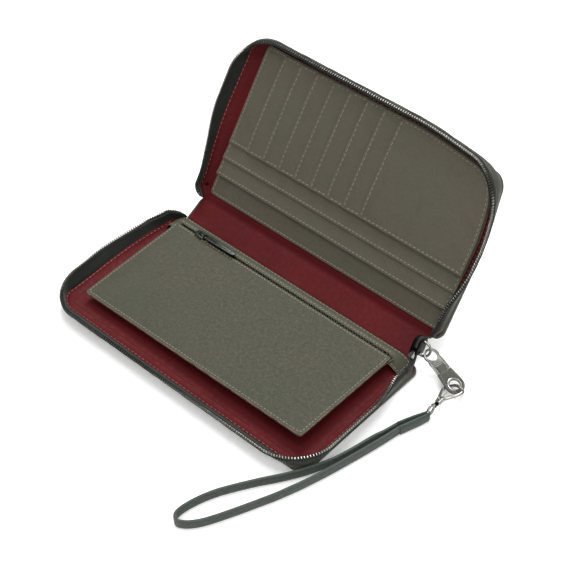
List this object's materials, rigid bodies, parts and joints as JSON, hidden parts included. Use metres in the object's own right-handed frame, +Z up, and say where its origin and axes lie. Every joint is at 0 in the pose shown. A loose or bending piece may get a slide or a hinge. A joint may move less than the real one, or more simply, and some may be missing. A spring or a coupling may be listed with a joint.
{
  "type": "zip-around passport wallet",
  "caption": "Soft-sided travel wallet that opens like a book, with a passport pocket under a zipped coin leaf, card and document slots, and a wrist strap clipped to its zip puller.",
  "frame": {"origin": "centre of the lower cover's resting face", "axes": "+Z up from the resting face, +X along the spine towards the slider and wrist strap, +Y from the lower cover's front edge towards the spine"},
  "size_m": [0.2276, 0.2398, 0.1011],
  "materials": {
    "olive_leather": "fine-grained, satin",
    "red_lining": "plain woven, matte",
    "stiffener_board": "matte",
    "black_zip_tape": "woven, matte",
    "dark_nickel": "dark, polished",
    "silver_metal": "polished",
    "strap_leather": "fine-grained, satin"
  },
  "bodies": {
    "lower_half": {"lower_cover_leather": "olive_leather", "lower_cover_board": "stiffener_board", "lower_cover_lining": "red_lining", "lower_zip_wall": "olive_leather", "lower_wall_lining": "red_lining", "lower_zip_tape": "black_zip_tape", "lower_zip_teeth": "dark_nickel", "lower_zip_stop": "dark_nickel", "zip_end_tape": "black_zip_tape", "coin_pocket_band": "olive_leather", "main_slider_body": "silver_metal", "main_slider_bail": "silver_metal"},
    "spine": {"spine_leather": "olive_leather", "spine_board": "stiffener_board", "spine_lining": "red_lining"},
    "upper_half": {"upper_cover_leather": "olive_leather", "upper_cover_board": "stiffener_board", "upper_cover_lining": "red_lining", "upper_zip_wall": "olive_leather", "upper_wall_lining": "red_lining", "upper_zip_tape": "black_zip_tape", "upper_zip_teeth": "dark_nickel", "upper_zip_stop": "dark_nickel", "card_panel_backing": "olive_leather", "document_slot_1": "olive_leather", "document_slot_2": "olive_leather", "document_slot_3": "olive_leather", "card_slot_1": "olive_leather", "card_slot_2": "olive_leather", "card_slot_3": "olive_leather", "card_slot_4": "olive_leather", "card_slot_5": "olive_leather", "card_slot_6": "olive_leather", "card_slot_7": "olive_leather", "card_slot_8": "olive_leather"},
    "coin_pocket": {"coin_front_panel": "olive_leather", "coin_back_panel": "olive_leather", "coin_pocket_lining": "red_lining", "coin_zip_tape_front": "black_zip_tape", "coin_zip_tape_rear": "black_zip_tape", "coin_zip_chain": "dark_nickel", "coin_zip_stop_left": "dark_nickel", "coin_zip_stop_right": "dark_nickel"},
    "coin_zip_slider": {"coin_slider_body": "dark_nickel"},
    "coin_zip_pull": {"coin_slider_pull": "dark_nickel"},
    "zip_puller": {"puller_head": "silver_metal", "puller_leather": "olive_leather", "puller_eyelet": "silver_metal"},
    "clasp": {"clasp_frame": "silver_metal", "clasp_rivet": "silver_metal", "clasp_gate_spring": "silver_metal"},
    "clasp_gate": {"clasp_gate": "silver_metal"},
    "wrist_strap": {"strap_swivel": "silver_metal", "wrist_strap": "strap_leather", "strap_end_tab": "strap_leather"}
  },
  "joints": [
    {"name": "spine_fold", "type": "hinge", "parent": "lower_half", "child": "spine", "pos_m": [0, 0.0494, 0.0032], "axis": [1, 0, 0], "range_deg": [-27, 63]},
    {"name": "cover_fold", "type": "hinge", "parent": "spine", "child": "upper_half", "pos_m": [0, 0.06508, 0.01119], "axis": [1, 0, 0], "range_deg": [-27, 63]},
    {"name": "coin_leaf", "type": "hinge", "parent": "lower_half", "child": "coin_pocket", "pos_m": [0, 0.0415, 0.0085], "axis": [1, 0, 0], "range_deg": [-85, 1]},
    {"name": "coin_slider", "type": "slide", "parent": "coin_pocket", "child": "coin_zip_slider", "axis": [1, 0, 0], "range_m": [0, 0.135]},
    {"name": "coin_pull", "type": "hinge", "parent": "coin_zip_slider", "child": "coin_zip_pull", "pos_m": [-0.0611, 0.03921, 0.01469], "axis": [0, -1, 0], "range_deg": [0, 170]},
    {"name": "puller_lift", "type": "hinge", "parent": "lower_half", "child": "zip_puller", "pos_m": [0.0957, 0.055, 0.0118], "axis": [-0.7071, -0.7071, 0], "range_deg": [0, 80]},
    {"name": "clasp_swing", "type": "hinge", "parent": "zip_puller", "child": "clasp", "pos_m": [0.1176, 0.0503, 0.0052], "axis": [0, 0, 1], "range_deg": [0, 40]},
    {"name": "clasp_gate_press", "type": "hinge", "parent": "clasp", "child": "clasp_gate", "pos_m": [0.11644, 0.03832, 0.00455], "axis": [-0.3416, -0.0179, 0.9397], "range_deg": [-25, 0], "stiffness_Nm_per_rad": 0.02},
    {"name": "strap_swivel_turn", "type": "hinge", "parent": "clasp", "child": "wrist_strap", "pos_m": [0.11856, 0.03202, 0.0052], "axis": [0.0523, -0.9986, 0], "continuous": true}
  ],
  "couplings": [
    {"joint": "cover_fold", "follows": "spine_fold", "ratio": 1}
  ]
}
